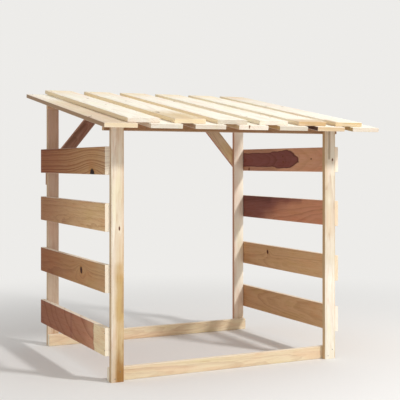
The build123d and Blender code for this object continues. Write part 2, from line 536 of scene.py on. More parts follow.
@dataclass
class Patch:
    """A stretch of other wood that runs through the plank, a rounded block seen from the best face.

    Its middle and half sizes are in millimetres and its turn in degrees. Its corners are `point` times as
    long as wide. The outline wobbles by `wobble` and fades over `soft`, and `rim` darkens it. `rings` is the
    share of the rings' contrast that shows in it, and the outline of `joined` runs into its own.
    """

    wood: str
    along: float
    across: float
    half_length: float
    half_width: float
    share: float = 1.0
    turn: float = 0.0
    point: float = 1.0
    wobble: float = 4.0
    soft: float = 1.5
    rim: float = 0.0
    rings: float = 1.0
    joined: "Patch" = None


@dataclass
class Log:
    """How a plank was sawn from its log, in millimetres and seen on its best face.

    The pith lies `pith` across and behind the face at the plank's middle, and drifts by `lean` of each
    length along it. `ring` is a year's growth, `contrast` how dark its late wood is and `thin` how narrow.
    `warm` is how far the colour goes from golden to reddish brown at the first and the last end: this is
    painted shade, darkening the end that lies deeper in shade. `edge`, `ends` and `far` give the narrow
    sides, the sawn ends and the face away from the best one a share of another colour, on some planks painted
    shade.
    `grain` is how strongly fibres and streaks show, and `wave` how uneven the rings are.
    """

    wood: str
    pith: tuple
    contrast: float
    seed: float
    lean: tuple = (0.0, 0.02)
    ring: float = 4.5
    warm: tuple = (0.0, 0.0)
    edge: tuple = ("sawn", 0.8)
    ends: tuple = ("sawn", 0.85)
    far: tuple = ("board", 0.0)
    grain: float = 1.0
    thin: float = 1.0
    knots: tuple = ()
    patches: tuple = ()
    wave: float = 1.6
    foot_stain: float = 0.0


# Darker marks along the grain: their noise's scale, seed, detail and roughness, the levels between which
# they show, their share and their tint
MARKS = {
    "streak": ((0.006, 0.16), 5, 2.0, 0.5, (0.35, 0.75), 0.4, (0.88, 0.78, 0.63)),
    "fibre": ((0.03, 1.3), 3, 3.0, 0.6, (0.45, 0.8), 0.4, (0.8, 0.66, 0.5)),
    "fleck": ((0.07, 2.6), 9, 1.0, 0.5, (0.62, 0.74), 0.35, (0.66, 0.5, 0.36)),
    "dash": ((0.016, 0.34), 7, 2.0, 0.6, (0.56, 0.7), 0.55, (0.74, 0.57, 0.43)),
}

# Tints, each three factors
LATE_TINT = (0.72, 0.54, 0.4)
# The next tint darkens and reddens planks towards their ends as painted shade.
END_SHADE_TINT = (0.4, 0.22, 0.2)
OLIVE_TINT = (0.96, 0.97, 0.87)
ROSE_TINT = (1, 0.9, 0.87)
STAIN_TINT = (0.54, 0.36, 0.18)
RIM_TINT = (0.7, 0.6, 0.6)
HALO_TINT = (0.76, 0.6, 0.45)
LIGHT_KNOT_TINT = (1.5, 1.4, 1.3)
BLACK_KNOT_TINT = (0.5, 0.4, 0.4)
BARK_TINT = (0.42, 0.36, 0.36)
WORN_WOOD = (1, 0.95, 0.87, 1)
WORN_SHARE = 0.25
DULL_STEEL_TINT = (0.6, 0.57, 0.52)
DULL_STEEL_SCALE = (900.0, 900.0)

# The grain: how far it wanders, a year's rise and fall from early to late wood, how far years drift apart,
# and how noise between two levels makes them strong. HUE_SCALE is that of greenish and rosy areas
WANDER_SCALE = (0.005, 0.02)
WANDER_REACH = 9
YEAR = ((0.0, 0.0), (0.4, 0.1), (0.8, 0.85), (0.92, 1.0), (1.0, 0.0))
YEAR_DRIFT = 2.0
STRENGTH_SCALE = 0.45
STRENGTH = (0.3, 0.7, 0.3, 1.0)
HUE_SCALE = (0.007, 0.03)
HUE_SHARE = 0.8
SIDE_RINGS, END_RINGS = 0.6, 0.35

# Knots: their slant and least width, and how far the grain parts, is pushed and bends, in radii
KNOT_SLANT = 0.2
KNOT_TIP = 0.15
PARTING = 0.7
PUSH = 0.9
BEND_LENGTH = 4.5
BEND_WIDTH = 1.9
SWELL_LENGTH = 7.0
SWELL_WIDTH = 2.2

# Their colours: how ragged they are, the halo, the core's soft edge and the ring of bark, in radii
RAGGED_SHARE = 0.35
HALO_REACH = 2.2
CORE_EDGE = (1.2, 1.02)
BARK_PLACE = 1.08
BARK_WIDTH = 0.24

# Patches: how round their corners are, how widely two join, their wobble, and the width of a rim
PATCH_CORNER = 0.9
JOINT_WIDTH = 14.0
WOBBLE_SCALE = (0.014, 0.03)
WOBBLE_GAIN = 4
RIM_WIDTH = 2.5

# The stain at a foot: its noise, the heights in metres where it ends and is full, how far the noise moves
# them, and its rise across the post
STAIN_SCALE = (0.02, 0.06)
STAIN_HEIGHTS = (0.17, 0.01)
STAIN_SHIFT = 0.14
STAIN_RISE = (-12, 2, 0.45, 1)

# Sheen and relief: shares of the fibres, the late wood, the bark, the flecks and the saw's marks
FACING = (0.6, 0.95)
ROUGHNESS = 0.62
FIBRE_ROUGHNESS, LATE_ROUGHNESS, SAWN_ROUGHNESS = 0.16, -0.08, 0.12
LATE_RELIEF, BARK_RELIEF, FIBRE_RELIEF, FLECK_RELIEF, SAW_RELIEF = 0.35, -1.5, 0.9, 0.35, 0.3
SAW_WAVE = (0.0, 4.2, 1.1)
RELIEF_DEPTH = 0.25 * MM
WOOD_GLOSS = 0.12


# Finishes


def pith_line(plank, log):
    """A point of the pith beside the plank's middle and its direction, in the plank's own frame in mm."""
    start = Vector((0, log.pith[0], log.pith[1] - plank.thickness / MM / 2))
    return start, Vector((1, *log.lean)).normalized()


def add_knot(steps, point, plank, log, knot):
    """Bends the grain round one knot. Returns the bent point and the distance from the knot's axis.

    A knot is a cone from the pith to the face. The grain parts round it and is pushed outwards over it:
    the push falls off as the exponential of the squared distance, slower along the grain than across.
    """
    start, grain = pith_line(plank, log)
    face = Vector((knot.along, knot.across, -plank.thickness / MM / 2))
    foot = start + grain * grain.dot(face - start)
    foot -= grain * (face - foot).length * KNOT_SLANT
    direction = (face - foot).normalized()
    reach = (face - foot).length
    offset = steps.vector("SUBTRACT", point, foot)
    depth = steps.vector("DOT_PRODUCT", offset, direction)
    beside = steps.vector("SUBTRACT", offset, steps.scaled(direction, depth))
    widening = steps.math("DIVIDE", reach, steps.math("MAXIMUM", depth, reach * KNOT_TIP))
    rounded = steps.vector("MULTIPLY", beside, (1 / knot.stretch, 1, 1))
    distance = steps.times(steps.vector("LENGTH", rounded), widening)
    away = steps.vector("NORMALIZE", steps.vector("MULTIPLY", beside, (0, 1, 1)))
    shift = steps.vector("ADD", steps.scaled(away, knot.radius * PARTING), direction * knot.radius * PUSH)
    near = falling(steps, beside, knot.radius * BEND_LENGTH * knot.stretch, knot.radius * BEND_WIDTH)
    bent = steps.vector("SUBTRACT", point, steps.scaled(shift, near))
    if knot.swell:
        far = falling(steps, beside, knot.swell * SWELL_LENGTH, knot.swell * SWELL_WIDTH)
        bent = steps.vector("SUBTRACT", bent, steps.scaled(direction * knot.swell, far))
    return bent, distance


def falling(steps, offset, length, width):
    """A push of 1 at no offset that falls off over a length along the grain and a width across it."""
    share = steps.vector("MULTIPLY", offset, (1 / length, 1 / width, 1 / width))
    return steps.math("EXPONENT", steps.times(steps.vector("DOT_PRODUCT", share, share), -1.0))


def patch_distance(steps, board, patch, seed):
    """Distance outside a patch's outline: that to a block with rounded corners, plus noise."""
    place = steps.node("ShaderNodeMapping", {
        "Vector": board, "Location": (patch.along, patch.across, 0),
        "Rotation": (0, 0, radians(patch.turn))}, vector_type="TEXTURE").outputs[0]
    corner = min(patch.half_length, patch.half_width) * PATCH_CORNER
    long_corner = min(patch.half_length, corner * patch.point)
    flat = steps.vector("MULTIPLY", steps.vector("ABSOLUTE", place), (1, 1, 0))
    beyond = steps.vector("SUBTRACT", flat, (patch.half_length - long_corner, patch.half_width - corner, 0))
    beyond = steps.vector("MAXIMUM", beyond, (0, 0, 0))
    beyond = steps.vector("MULTIPLY", beyond, (corner / long_corner, 1, 0))
    outside = steps.minus(steps.vector("LENGTH", beyond), corner)
    if patch.joined:
        other = patch_distance(steps, board, patch.joined, seed)
        outside = steps.math("SMOOTH_MIN", outside, other, JOINT_WIDTH)
    coarse = steps.noise(board, WOBBLE_SCALE, seed, 3.0, 0.4)
    return steps.plus(outside, steps.times(steps.minus(coarse, 0.5), patch.wobble * WOBBLE_GAIN))


def foot_stain(steps, wood, board, height, log):
    """Wood with an orange-brown stain that climbs unevenly from the ground, paler on one side."""
    patch = steps.noise(board, STAIN_SCALE, log.seed + 27, 3.0, 0.6)
    damp = steps.plus(height, steps.times(steps.minus(patch, 0.5), STAIN_SHIFT))
    stain = steps.times(steps.smooth(damp, *STAIN_HEIGHTS, 0, log.foot_stain),
                        steps.smooth(steps.part(board, 1), *STAIN_RISE))
    return steps.tint(stain, wood, STAIN_TINT)


def knot_colour(steps, wood, rim, size, dark, brown, base):
    """Wood with one knot: a darker halo, a ringed core and a rim of bark. Also returns the bark's share."""
    rings = steps.times(steps.math("SINE", steps.times(rim, 3.2)), 0.18)
    core = steps.mix(steps.plus(rings, 0.4), linear(brown), linear(tinted(brown, *LIGHT_KNOT_TINT)))
    core = steps.mix(dark, core, linear(tinted(brown, *BLACK_KNOT_TINT)))
    halo = steps.smooth(rim, size * HALO_REACH, size, 0, 0.6)
    wood = steps.mix(halo, wood, linear(tinted(base, *HALO_TINT)))
    wood = steps.mix(steps.smooth(rim, size * CORE_EDGE[0], size * CORE_EDGE[1]), wood, core)
    off_bark = steps.math("ABSOLUTE", steps.minus(rim, size * BARK_PLACE))
    bark = steps.smooth(off_bark, size * BARK_WIDTH, 0, 0, 0.8)
    return steps.mix(bark, wood, linear(tinted(brown, *BARK_TINT))), bark


def growth_rings(steps, radius, log):
    """Late wood from 0 to 1: each year rises slowly and ends at once. Years differ in width and strength."""
    slow = steps.drift(steps.times(radius, 0.5 / log.ring), 1.0)
    years = steps.plus(steps.math("DIVIDE", radius, log.ring), steps.times(slow, YEAR_DRIFT))
    late = steps.ramp(steps.math("FRACT", steps.plus(years, log.seed)), YEAR)
    late = steps.math("POWER", late, log.thin)
    strength = steps.drift(steps.plus(years, log.seed * 3), STRENGTH_SCALE)
    return steps.times(late, steps.smooth(strength, *STRENGTH))


def pine(name, plank, log, colours):
    """Planed pine as solid wood.

    Rings are shells round the pith, bent by knots and slow noise, each pale first and darker towards its
    end. Over them lie patches of other wood, streaks, fibres, flecks and dashes, a drift of colour along
    the plank that is painted shade, knots, stains at the foot, browner edges, pale sawn ends and worn
    arrises. On some planks the narrow sides and the far face are also darker as painted shade.
    """
    material = bpy.data.materials.new(name)
    steps = Steps(material)
    place = steps.node("ShaderNodeTexCoord").outputs
    turn = Matrix((plank.along, plank.across, plank.out)).transposed()
    board = steps.node("ShaderNodeMapping", {
        "Vector": place["Object"], "Location": Vector(plank.middle),
        "Rotation": turn.to_euler(), "Scale": (MM, MM, MM)}, vector_type="TEXTURE").outputs[0]

    # Grain, bent by knots and slow noise
    grain = board
    knots = []
    for knot in log.knots:
        grain, distance = add_knot(steps, grain, plank, log, knot)
        knots.append((distance, knot))
    wander = steps.noise(grain, WANDER_SCALE, log.seed, 3.0, 0.55, "Color")
    wander = steps.vector("MULTIPLY", steps.vector("SUBTRACT", wander, (0.5, 0.5, 0.5)), (0, 1, 1))
    ringed = steps.vector("ADD", grain, steps.scaled(wander, log.wave * WANDER_REACH))
    pith, pith_way = pith_line(plank, log)
    from_pith = steps.vector("SUBTRACT", ringed, pith)
    radius = steps.vector("LENGTH", steps.vector("CROSS_PRODUCT", from_pith, pith_way))
    late = growth_rings(steps, radius, log)
    shade = steps.times(late, log.contrast)

    def ringed_wood(wood, share=1.0):
        """The rings in one of the colours, at a share of their contrast."""
        early = getattr(colours, wood)
        return steps.mix(steps.times(shade, share), linear(early), linear(tinted(early, *LATE_TINT)))

    # Colour
    wood = ringed_wood(log.wood)
    for number, patch in enumerate(log.patches):
        outside = patch_distance(steps, board, patch, log.seed + 11 + number)
        inside = steps.smooth(outside, patch.soft, -patch.soft, 0, patch.share)
        wood = steps.mix(inside, wood, ringed_wood(patch.wood, patch.rings))
        if patch.rim:
            rim = steps.smooth(steps.math("ABSOLUTE", outside), patch.soft * RIM_WIDTH, 0, 0, patch.rim)
            wood = steps.mix(rim, wood, linear(tinted(getattr(colours, patch.wood), *RIM_TINT)))
    marks = {}
    for kind, (scale, seed, detail, roughness, levels, share, tint) in MARKS.items():
        marks[kind] = steps.noise(grain, scale, log.seed + seed, detail, roughness)
        wood = steps.tint(steps.smooth(marks[kind], *levels, 0, share * log.grain), wood, tint)
    span = plank.length / MM / 2
    # Painted shade: the wood darkens and reddens towards the ends that lie deeper in shade, by the log's two
    # shares.
    wood = steps.tint(steps.smooth(steps.part(board, 0), -span, span, *log.warm), wood, END_SHADE_TINT)
    hue = steps.noise(board, HUE_SCALE, log.seed + 17)
    wood = steps.tint(steps.smooth(hue, 0.5, 0.7, 0, HUE_SHARE), wood, OLIVE_TINT)
    wood = steps.tint(steps.smooth(hue, 0.5, 0.3, 0, HUE_SHARE), wood, ROSE_TINT)

    relief = steps.times(late, LATE_RELIEF)
    ragged = steps.noise(board, (0.2, 0.2), log.seed + 21, 3.0, 0.6)
    for distance, knot in knots:
        rim = steps.plus(distance, steps.times(ragged, knot.radius * RAGGED_SHARE))
        wood, bark = knot_colour(steps, wood, rim, knot.radius, knot.dark, colours.knot,
                                 getattr(colours, log.wood))
        relief = steps.total(relief, (bark, BARK_RELIEF))
    if log.foot_stain:
        wood = foot_stain(steps, wood, board, steps.part(place["Object"], 2), log)

    # Narrow sides, the far face, sawn ends and worn arrises. On some planks the sides and the far face are
    # darkened as painted shade
    def facing(direction):
        """The part of the surface's normal that points one way."""
        return steps.vector("DOT_PRODUCT", place["Normal"], tuple(direction))

    side = steps.smooth(steps.math("ABSOLUTE", facing(plank.across)), *FACING, 0, log.edge[1])
    wood = steps.mix(side, wood, ringed_wood(log.edge[0], SIDE_RINGS))
    if log.far[1]:
        behind = steps.smooth(facing(plank.out), *FACING, 0, log.far[1])
        wood = steps.mix(behind, wood, ringed_wood(log.far[0]))
    sawn = steps.smooth(steps.math("ABSOLUTE", facing(plank.along)), *FACING)
    wood = steps.mix(steps.times(sawn, log.ends[1]), wood, ringed_wood(log.ends[0], END_RINGS))
    arris = steps.node("ShaderNodeAttribute", attribute_name="arris", attribute_type="GEOMETRY")
    wood = steps.mix(steps.times(arris.outputs["Fac"], WORN_SHARE), wood, WORN_WOOD)

    # Sheen and relief: fibres, late wood standing proud, and the saw's marks across the ends
    rough = steps.total(ROUGHNESS, (marks["fibre"], FIBRE_ROUGHNESS), (late, LATE_ROUGHNESS),
                        (sawn, SAWN_ROUGHNESS))
    teeth = steps.math("SINE", steps.vector("DOT_PRODUCT", board, SAW_WAVE))
    height = steps.total(relief, (marks["fibre"], FIBRE_RELIEF), (marks["fleck"], FLECK_RELIEF),
                         (steps.times(teeth, sawn), SAW_RELIEF))
    bump = steps.node("ShaderNodeBump", {"Strength": 0.5, "Distance": RELIEF_DEPTH, "Height": height})
    steps.finish(Base_Color=wood, Roughness=rough, Normal=bump.outputs[0], Specular_IOR_Level=WOOD_GLOSS)
    return material


def nail_finish(colours):
    """Galvanised steel, dulled in patches."""
    material = bpy.data.materials.new("nail_steel")
    steps = Steps(material)
    place = steps.node("ShaderNodeTexCoord").outputs["Object"]
    dull = steps.noise(place, DULL_STEEL_SCALE, 2.0)
    steel = colours.nail_steel
    colour = steps.mix(steps.smooth(dull, 0.4, 0.7), linear(steel), linear(tinted(steel, *DULL_STEEL_TINT)))
    steps.finish(Base_Color=colour, Roughness=steps.smooth(dull, 0.3, 0.7, 0.35, 0.6), Metallic=0.85)
    return material


# How each plank was cut

TAN_SIDES = ("edge", 0.85)
# Painted shade: reddish narrow sides for the shade they lie in, on the back right post and the braces.
SHADED_SIDES = ("red", 0.9)
GOLDEN_ENDS = ("post", 0.85)
# The outer face of right side boards 3 and 4 takes the side board wood, without the painted shade of their
# inner faces.
UNSHADED_BACK = ("board", 0.75)

# In this table the shares of reddish brown at the ends are painted shade, such as at the left side boards'
# backs and the back left post's head.
LOGS = {
    "front_left_post": Log(
        "post", pith=(14, 95), lean=(0.01, 0.02), ring=9, contrast=0.26, edge=("edge", 0.6),
        foot_stain=1.0, seed=1.3, knots=(Knot(74.6, 6.1, 2.3, swell=4, stretch=3),), patches=(
            Patch("pale", 220, 0, 180, 40, share=0.7, soft=60),
            Patch("pale", 0, -14, 430, 8, share=0.9, wobble=3, soft=5),
            Patch("edge", -20, 21, 420, 2.5, share=0.85, wobble=2, soft=4),
            Patch("olive", -230, 5, 190, 12, share=0.7, wobble=6, soft=14),
            Patch("olive", -150, 13, 75, 13, share=0.9, wobble=7, soft=14),
            Patch("brown", -145, 20, 55, 4, share=0.6, wobble=5, soft=7))),
    "front_right_post": Log(
        "dull", pith=(-4, 60), lean=(0.0, 0.03), ring=7, contrast=0.28, edge=TAN_SIDES, seed=2.1,
        knots=(Knot(299, 10, 2.6, stretch=1.6),), patches=(
            Patch("roof", -295, 0, 190, 40, share=0.85, soft=50, rings=0.3),
            Patch("edge", 330, -16, 140, 5, share=0.35, wobble=2, soft=3),
            Patch("olive", 78, -6, 60, 14, share=0.3, soft=20),
            Patch("grey", 180, 20, 60, 3, share=0.5, wobble=2, soft=6),
            Patch("grey", 395, -4, 95, 4.5, share=0.8, wobble=1.5, soft=3),
            Patch("edge", 0, 21, 420, 1.5, share=0.5, wobble=1, soft=2))),
    "back_left_post": Log(
        "pink", pith=(30, 40), ring=3.5, contrast=0.22, grain=0.8, warm=(0.0, 0.57),
        edge=("edge", 0.6), foot_stain=0.6, seed=3.7),
    # Painted light: the back right post is made nearly white with faint grain, partly for the sunlight on its
    # front face. Its narrow sides are painted shade.
    "back_right_post": Log(
        "pale", pith=(-20, 75), ring=5, contrast=0.075, grain=0.4, edge=SHADED_SIDES, foot_stain=0.6,
        seed=4.9),
    # Painted shade: the front beam's brown stands for the shade under the roof's overhang.
    "front_top_beam": Log(
        "brown", pith=(10, 50), ring=4, contrast=0.3, edge=("brown", 0.5),
        ends=("board", 0.7), seed=5.3),
    "back_top_beam": Log(
        "frame", pith=(-12, 40), ring=4, contrast=0.3, warm=(0.45, 0.5), ends=("board", 0.6),
        seed=6.1),
    "front_bottom_rail": Log("post", pith=(14, 45), contrast=0.26, seed=7.7),
    "back_bottom_rail": Log("post", pith=(-6, 65), ring=3.8, contrast=0.26, seed=8.2),
    # Painted shade: the left brace's front face darkens to reddish brown almost all along, for the roof's
    # shade over it; its back face takes frame wood.
    "left_brace": Log(
        "dull", pith=(-4, 34), lean=(0.02, 0.05), ring=4, warm=(0.9, 0.92), contrast=0.6,
        patches=(Patch("grey", 0, -12, 300, 5, share=0.5, soft=5),),
        edge=SHADED_SIDES, far=("frame", 0.85), seed=9.4),
    "right_brace": Log(
        "post", pith=(8, 30), lean=(0.01, 0.05), ring=6, warm=(0.0, 0.5), contrast=0.38,
        patches=(Patch("cream", -130, 0, 80, 60, share=0.9, soft=50),), edge=SHADED_SIDES, seed=10.6),
    "left_side_board_1": Log(
        "red", pith=(60, 130), lean=(0.0, 0.3), ring=25, contrast=0.6, thin=3, warm=(0.0, 0.55),
        seed=11.2, patches=(
            Patch("tan", -225, 0, 50, 80, share=0.35, soft=40),
            Patch("heart", -15, 0, 12, 60, share=0.4, wobble=7, soft=14),
            Patch("cream", -360, 0, 110, 320, wobble=12, soft=2.5, rim=0.4, rings=0.3))),
    "left_side_board_2": Log(
        "gold", pith=(-30, 60), ring=8, contrast=0.41, warm=(0.5, 0.95), seed=12.8,
        knots=(Knot(-124, 4.5, 10.5, swell=12, dark=0.6),),
        patches=(Patch("cream", -360, 0, 60, 80, share=0.3, soft=70),)),
    "left_side_board_3": Log(
        "board", pith=(-40, 120), lean=(0.03, 0.02), ring=3.4, contrast=0.36, grain=1.3,
        warm=(0.0, 0.78), seed=13.5),
    "left_side_board_4": Log(
        "gold", pith=(-110, 40), lean=(0.0, 0.0), ring=10, contrast=1.0, thin=1.4, wave=1.0,
        warm=(0.55, 1.0), seed=14.9, knots=(Knot(-238, -47, 9, swell=26, stretch=2.4, dark=1.0),),
        patches=(Patch("cream", -370, 0, 60, 80, share=0.45, soft=60),)),
    "right_side_board_1": Log(
        "board", pith=(12, 70), lean=(0.0, 0.05), ring=6, contrast=0.34, warm=(0.2, 0.5),
        ends=("roof", 0.85), seed=15.4),
    "right_side_board_2": Log(
        "board", pith=(-20, 40), lean=(0.0, 0.03), ring=5, contrast=0.34, warm=(0.1, 0.4),
        knots=(Knot(120, 18, 6, swell=6),), ends=GOLDEN_ENDS, seed=16.7),
    # Painted shade: the tan inner faces of right side boards 3 and 4 hold reddish shade from under the roof.
    "right_side_board_3": Log(
        "tan", pith=(-45, 75), lean=(-0.03, 0.05), ring=9, contrast=0.4, warm=(0.1, 0.3),
        ends=GOLDEN_ENDS, far=UNSHADED_BACK, seed=17.2, patches=(
            Patch("ruddy", -100, 0, 330, 90, share=0.4, soft=60),
            Patch("heart", 105, 307, 300, 600, share=0.9, turn=65, wobble=16, soft=45),
            Patch("heart", 120, 44, 260, 12, share=0.6, wobble=8, soft=14),
            # Painted shade: this dark band along the top of the inner face stands for the shade under the
            # roof.
            Patch("knot", 260, 42, 170, 20, share=0.3, wobble=8, soft=14))),
    "right_side_board_4": Log(
        "tan", pith=(-2, 60), lean=(0.0, -0.15), ring=9, contrast=0.19, far=UNSHADED_BACK, seed=18.1,
        knots=(Knot(275, -38, 4), Knot(-2, -8, 3), Knot(0, 13, 3), Knot(-205, 3, 2.5, stretch=1.5)),
        patches=(
            Patch("heart", 230, 0, 190, 90, share=0.45, soft=50),
            Patch("heart", 200, 0, 220, 27, wobble=3, soft=1.6, rim=0.9, rings=2.5, joined=Patch(
                "heart", 10, 3, 96, 34, point=2.8, joined=Patch(
                    "heart", -62, 1, 52, 11, point=4))))),
}

YELLOW_BACK = Patch("cream", 450, 0, 110, 90, share=0.6, soft=90)
CREAM_SIDES = ("cream", 0.3)

# Painted shade: the lower roof boards' narrow sides lie under the upper boards and are given darker colours
# for the shade there, nearly black on lower_roof_board_6.
ROOF_NOTES = {
    # Painted shadow: the golden patch over the front of lower_roof_board_1 and its darker front end stand for
    # the shadow of the upper board beside it.
    "lower_roof_board_1": dict(
        patches=(Patch("post", -200, 0, 400, 90, share=0.8, soft=80),), warm=(0.3, 0.0),
        knots=(Knot(-291, -51, 4, stretch=2),), edge=("brown", 0.9), ends=("cream", 0.6)),
    "lower_roof_board_2": dict(edge=("edge", 0.45), ends=("grey", 0.3)),
    "lower_roof_board_3": dict(edge=("brown", 0.9), ends=("brown", 0.35)),
    "lower_roof_board_4": dict(edge=TAN_SIDES, knots=(Knot(-434, -17, 2.4), Knot(-401, 35, 3.5))),
    "lower_roof_board_5": dict(edge=("edge", 1.0), ends=("grey", 0.55)),
    "lower_roof_board_6": dict(edge=("knot", 0.95), ends=("edge", 0.8)),
    "lower_roof_board_7": dict(edge=("olive", 0.95), ends=("brown", 0.4)),
    "upper_roof_board_2": dict(
        patches=(YELLOW_BACK, Patch("olive", -520, 0, 270, 90, share=0.75, wobble=22, soft=110)),
        knots=(Knot(-262, -38, 6, swell=8, stretch=1.6), Knot(93, -12, 3.5)), ends=("cream", 0.6)),
    "upper_roof_board_3": dict(knots=(Knot(137, 50, 3, stretch=1.8),), ends=("grey", 0.5)),
    "upper_roof_board_4": dict(edge=CREAM_SIDES),
    "upper_roof_board_5": dict(
        patches=(YELLOW_BACK, Patch("edge", -470, 0, 90, 90, share=0.7, wobble=14, soft=50)),
        edge=CREAM_SIDES, ends=("edge", 0.8)),
    "upper_roof_board_6": dict(
        patches=(YELLOW_BACK, Patch("edge", -440, -54, 70, 8, share=0.9, soft=16)),
        edge=CREAM_SIDES, ends=("olive", 0.9), warm=(0.0, 0.15)),
}


def roof_log(node):
    """A roof board's log: what is seen of it above, and the rest by a seeded draw."""
    generator = np.random.default_rng([SEED, *node.encode()])
    pith = (generator.uniform(-30, 30), generator.uniform(35, 110))
    lean = (generator.uniform(-0.02, 0.02), generator.uniform(-0.06, 0.06))
    ring = generator.uniform(4, 8)
    seed = generator.uniform(0, 40)
    count = int(generator.integers(0, 3))
    places = zip(generator.uniform(-380, 380, count), generator.uniform(-42, 42, count),
                 generator.uniform(2, 4.5, count))
    # Painted shade: the far face, the boards' underside, is reddish for the shade under the roof.
    log = Log("roof", pith=pith, lean=lean, ring=ring, contrast=0.19, warm=(0.02, 0.0),
              edge=("cream", 0.8), ends=("brown", 0.15), far=("red", 0.7), grain=0.55,
              knots=tuple(Knot(*place) for place in places), patches=(YELLOW_BACK,), seed=seed)
    return replace(log, **ROOF_NOTES.get(node, {}))


# Timber


def make_timber(scene, node):
    """Makes one plank with its finish, in place of its solid."""
    generator = np.random.default_rng([SEED, *node.encode()])
    plank = plank_of(node, scene.rack_timber)
    surface, arris = plank_surface(plank, scene.rack_timber, generator)
    finish = pine(f"{node}_pine", plank, LOGS.get(node) or roof_log(node), scene.rack_colours)
    piece = add_piece(f"{node}_timber", surface, tube_faces(*surface.shape[:2]), finish)
    piece.data.attributes.new("arris", "FLOAT", "POINT").data.foreach_set("value", arris.ravel())
    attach(piece, BODY)
    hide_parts(node)


class RACK_OT_posts(bpy.types.Operator):
    """Make the four posts"""

    bl_idname = "rack.posts"
    bl_label = "Posts"

    def execute(self, context):
        for side in SIDES:
            for end in ENDS:
                make_timber(context.scene, f"{end}_{side}_post")
        return {"FINISHED"}


class RACK_OT_beams_and_rails(bpy.types.Operator):
    """Make the two top beams and the two bottom rails"""

    bl_idname = "rack.beams_and_rails"
    bl_label = "Beams and Rails"

    def execute(self, context):
        for end in ENDS:
            make_timber(context.scene, f"{end}_top_beam")
            make_timber(context.scene, f"{end}_bottom_rail")
        return {"FINISHED"}


class RACK_OT_braces(bpy.types.Operator):
    """Make the two knee braces at the back"""

    bl_idname = "rack.braces"
    bl_label = "Braces"

    def execute(self, context):
        for side in SIDES:
            make_timber(context.scene, f"{side}_brace")
        return {"FINISHED"}


class RACK_OT_side_boards(bpy.types.Operator):
    """Make the boards of both sides"""

    bl_idname = "rack.side_boards"
    bl_label = "Side Boards"

    def execute(self, context):
        for node in nodes_of("side_board"):
            make_timber(context.scene, node)
        return {"FINISHED"}


class RACK_OT_roof_boards(bpy.types.Operator):
    """Make both layers of roof boards"""

    bl_idname = "rack.roof_boards"
    bl_label = "Roof Boards"

    def execute(self, context):
        for node in nodes_of("roof_board"):
            make_timber(context.scene, node)
        return {"FINISHED"}


# Nails, with distances in millimetres

NAIL_SIDES = 12
NAIL_RINGS = np.array(((1.0, -0.3), (1.0, 0.0), (0.85, 0.08), (0.5, 0.12)))
BEST_FACE, FAR_FACE = -1, 1
SIDE_BOARD_GAP = 28
LOWER_ROOF_GAP = 34
UPPER_ROOF_GAP = 40
POST_GAP = 9
RAIL_SPREAD = 11
BEAM_SPREAD = 5
BRACE_FOOT_PLACES = (35, 60)
BRACE_HEAD_PLACE = 42


def nail_places(plank, stations, gap, face):
    """Two nails on a face of a plank, at two distances along it and a gap to either side of its middle line.

    Each is its place and its out and along directions.
    """
    along, across = np.array(stations)[:, None] * MM, np.array((-gap, gap))[:, None] * MM
    points = plank.middle + plank.along * along + plank.across * across
    points = points + plank.out * face * plank.thickness / 2
    return [(point, plank.out * face, plank.along) for point in points]


def crossing_nails(timber, node, other, gap, spread=0, face=BEST_FACE):
    """Two nails through a node's plank into another, about the middle of what the two boxes share."""
    plank = plank_of(node, timber)
    low, high = solid_box(node)
    other_low, other_high = solid_box(other)
    place = (np.maximum(low, other_low) + np.minimum(high, other_high)) / 2
    axis = np.argmax(np.abs(plank.along))
    at = (place[axis] - plank.middle[axis]) / plank.along[axis] / MM
    return nail_places(plank, (at - spread, at + spread), gap, face)


def side_board_nails(timber):
    """Two nails through each side board into each post."""
    places = []
    for node in nodes_of("side_board"):
        side = node.split("_")[0]
        face = BEST_FACE if side == "left" else FAR_FACE
        for end in ENDS:
            places += crossing_nails(timber, node, f"{end}_{side}_post", SIDE_BOARD_GAP, face=face)
    return places


def frame_nails(timber):
    """Nails through the posts into rails and front beam, and through the braces into posts and back beam."""
    places = []
    for side in SIDES:
        front, back = f"front_{side}_post", f"back_{side}_post"
        places += crossing_nails(timber, front, "front_bottom_rail", POST_GAP, RAIL_SPREAD)
        places += crossing_nails(timber, front, "front_top_beam", POST_GAP, BEAM_SPREAD)
        places += crossing_nails(timber, back, "back_bottom_rail", POST_GAP, RAIL_SPREAD, FAR_FACE)
        brace = plank_of(f"{side}_brace", timber)
        half = brace.length / MM / 2
        places += nail_places(brace, [place - half for place in BRACE_FOOT_PLACES], 0, FAR_FACE)
        places += nail_places(brace, [half - BRACE_HEAD_PLACE] * 2, POST_GAP, FAR_FACE)
    return places


def roof_nails(timber):
    """Two nails through each roof board into each beam."""
    places = []
    for node in nodes_of("roof_board"):
        gap = UPPER_ROOF_GAP if node.startswith("upper") else LOWER_ROOF_GAP
        for end in ENDS:
            places += crossing_nails(timber, node, f"{end}_top_beam", gap)
    return places


def add_nails(name, places, radius, material):
    """Nail heads as one mesh: each is a short rim and a low dome, rings of points about its axis."""
    centre, axis, first = (np.array(part)[:, None, None] for part in zip(*places))
    second = np.cross(axis, first)
    angle = np.linspace(0, 2 * pi, NAIL_SIDES, endpoint=False)[None, None, :, None]
    reach = NAIL_RINGS[None, :, 0, None, None] * radius
    height = NAIL_RINGS[None, :, 1, None, None] * radius
    points = centre + axis * height + reach * (first * np.cos(angle) + second * np.sin(angle))
    piece = add_piece(name, points, tube_faces(len(NAIL_RINGS), NAIL_SIDES, len(places)), material)
    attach(piece, BODY)


class RACK_OT_nails(bpy.types.Operator):
    """Make the nail heads that show on the outer faces"""

    bl_idname = "rack.nails"
    bl_label = "Nails"

    def execute(self, context):
        timber = context.scene.rack_timber
        finish = nail_finish(context.scene.rack_colours)
        for places in (side_board_nails, frame_nails, roof_nails):
            add_nails(places.__name__, places(timber), timber.nail_head / 2, finish)
        return {"FINISHED"}


# Stage

